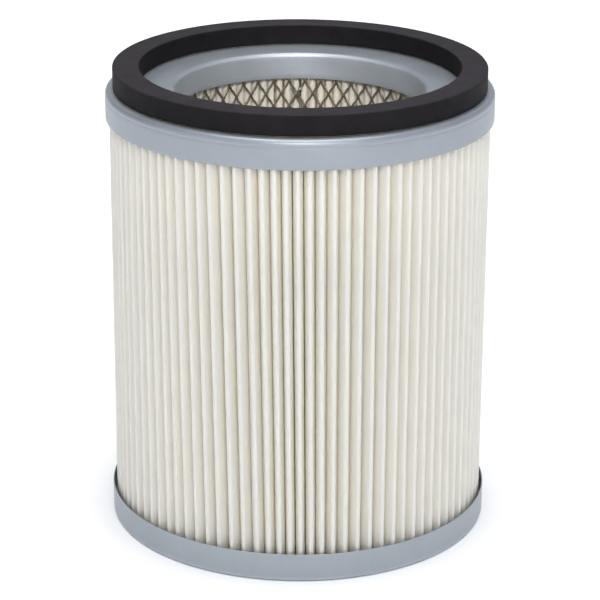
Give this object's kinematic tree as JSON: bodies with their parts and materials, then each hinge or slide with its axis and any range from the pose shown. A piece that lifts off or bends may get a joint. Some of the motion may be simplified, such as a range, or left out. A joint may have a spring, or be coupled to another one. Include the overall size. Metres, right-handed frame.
{
  "type": "pleated filter cartridge",
  "caption": "Cylindrical pleated filter cartridge for a dust collector: open-throated top cap with a foam gasket, closed bottom pan, pleated media round a metal mesh core.",
  "frame": {"origin": "centre of the bottom pan's flat underside, on the cartridge's axis", "axes": "+Z along the cartridge's axis, from the closed bottom pan towards the gasket and the open throat; -Y faces the viewer, and the media's seam is at +Y"},
  "size_m": [0.324, 0.324, 0.3957],
  "materials": {
    "zinc_sheet": "zinc-plated sheet steel, satin",
    "zinc_mesh": "galvanised expanded metal, dull",
    "filter_media": "calendered nonwoven, matte",
    "foam_rubber": "closed-cell foam, matte",
    "potting": "cast plastisol, satin",
    "glue": "dried contact glue"
  },
  "bodies": {
    "root": {"bottom_end_cap": "zinc_sheet", "bottom_potting": "potting", "inner_core": "zinc_mesh", "pleat_pack": "filter_media", "media_seam_clip": "zinc_sheet", "top_potting": "potting", "top_end_cap": "zinc_sheet", "gasket_adhesive": "glue", "sealing_gasket": "foam_rubber"}
  },
  "joints": []
}
